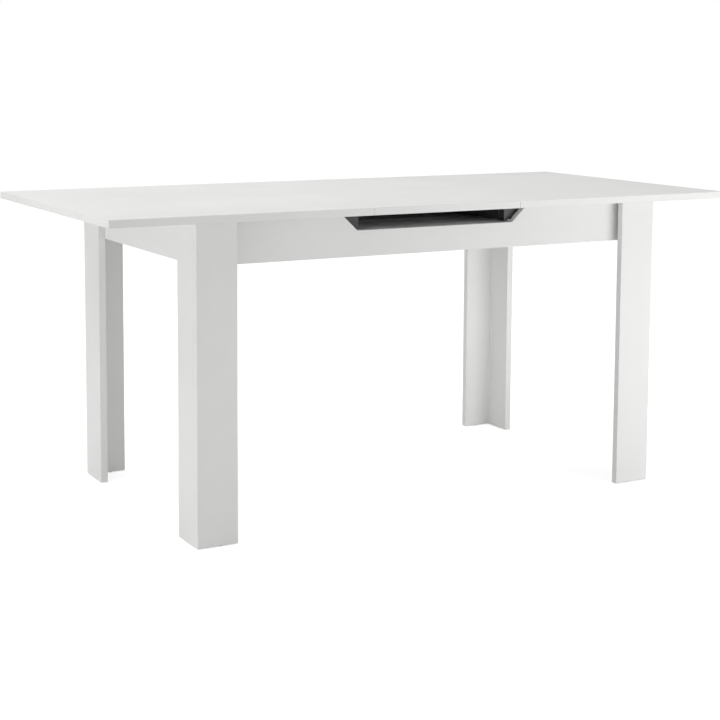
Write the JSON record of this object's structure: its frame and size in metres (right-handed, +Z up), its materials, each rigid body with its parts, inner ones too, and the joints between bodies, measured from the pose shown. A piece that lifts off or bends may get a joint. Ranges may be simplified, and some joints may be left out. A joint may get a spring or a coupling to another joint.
{
  "type": "extending dining table",
  "caption": "Rectangular extending dining table with a folding centre leaf stored under the top, sliding top halves, L-shaped board legs and a slotted front apron.",
  "frame": {"origin": "on the floor, under the middle of the table", "axes": "+X along the table's length, -Y towards the long side with the leaf slot, +Z up"},
  "size_m": [1.71, 0.8, 0.76],
  "materials": {
    "board": "white melamine-faced chipboard, satin",
    "edging": "white plastic edging, satin",
    "inner_board": "dark grey melamine-faced chipboard",
    "beech": "plain beech",
    "felt": "felt strip",
    "runner_steel": "black steel channel",
    "black_steel": "black powder coat",
    "nylon": "natural nylon",
    "zinc": "bright zinc plate",
    "barrel_metal": "black barrel hinge"
  },
  "bodies": {
    "frame": {"leg_front_left_face": "board", "leg_front_left_side": "board", "leg_front_right_face": "board", "leg_front_right_side": "board", "leg_rear_left_face": "board", "leg_rear_left_side": "board", "leg_rear_right_face": "board", "leg_rear_right_side": "board", "front_apron": "board", "rear_apron": "board", "left_apron": "board", "right_apron": "board", "left_cross_rail": "inner_board", "right_cross_rail": "inner_board", "hinge_rail": "inner_board", "tray": "inner_board", "tray_pads": "felt", "corner_blocks": "beech", "front_left_runner": "runner_steel", "front_right_runner": "runner_steel", "rear_left_runner": "runner_steel", "rear_right_runner": "runner_steel", "runner_screws": "zinc", "flip_hinge_fixed": "zinc", "flip_hinge_pins": "zinc", "flip_screws_fixed": "zinc", "frame_pads": "nylon", "floor_glides": "nylon", "dowels": "beech", "cam_locks": "zinc", "cam_bolts": "zinc", "cam_caps": "edging", "frame_screws": "zinc"},
    "left_top": {"left_top": "board", "left_top_edging": "edging", "left_carriages": "black_steel", "left_shoes": "nylon", "left_carriage_screws": "zinc", "catch_pivot_left": "zinc"},
    "right_top": {"right_top": "board", "right_top_edging": "edging", "right_carriages": "black_steel", "right_shoes": "nylon", "right_carriage_screws": "zinc", "catch_pivot_right": "zinc"},
    "leaf_rear": {"leaf_rear": "board", "leaf_rear_edging": "edging", "flip_hinge_moving": "zinc", "flip_screws_moving": "zinc", "fold_barrels_rear": "barrel_metal", "fold_links": "zinc"},
    "leaf_front": {"leaf_front": "board", "leaf_front_edging": "edging", "fold_barrels_front": "barrel_metal"},
    "catch_left": {"catch_left": "zinc"},
    "catch_right": {"catch_right": "zinc"}
  },
  "joints": [
    {"name": "left_top_slide", "type": "slide", "parent": "frame", "child": "left_top", "axis": [-1, 0, 0], "range_m": [0, 0.02]},
    {"name": "right_top_slide", "type": "slide", "parent": "frame", "child": "right_top", "axis": [1, 0, 0], "range_m": [0, 0.02]},
    {"name": "leaf_flip", "type": "hinge", "parent": "frame", "child": "leaf_rear", "pos_m": [0, 0, 0.7405], "axis": [1, 0, 0], "range_deg": [0, 180]},
    {"name": "leaf_fold", "type": "hinge", "parent": "leaf_rear", "child": "leaf_front", "pos_m": [0, 0, 0.76], "axis": [1, 0, 0], "range_deg": [-180, 0]},
    {"name": "catch_left_swivel", "type": "hinge", "parent": "left_top", "child": "catch_left", "pos_m": [-0.228, -0.3, 0.741], "axis": [0, 0, -1], "range_deg": [0, 90]},
    {"name": "catch_right_swivel", "type": "hinge", "parent": "right_top", "child": "catch_right", "pos_m": [0.228, -0.3, 0.741], "axis": [0, 0, 1], "range_deg": [0, 90]}
  ],
  "couplings": [
    {"joint": "leaf_fold", "follows": "leaf_flip", "ratio": -1}
  ]
}
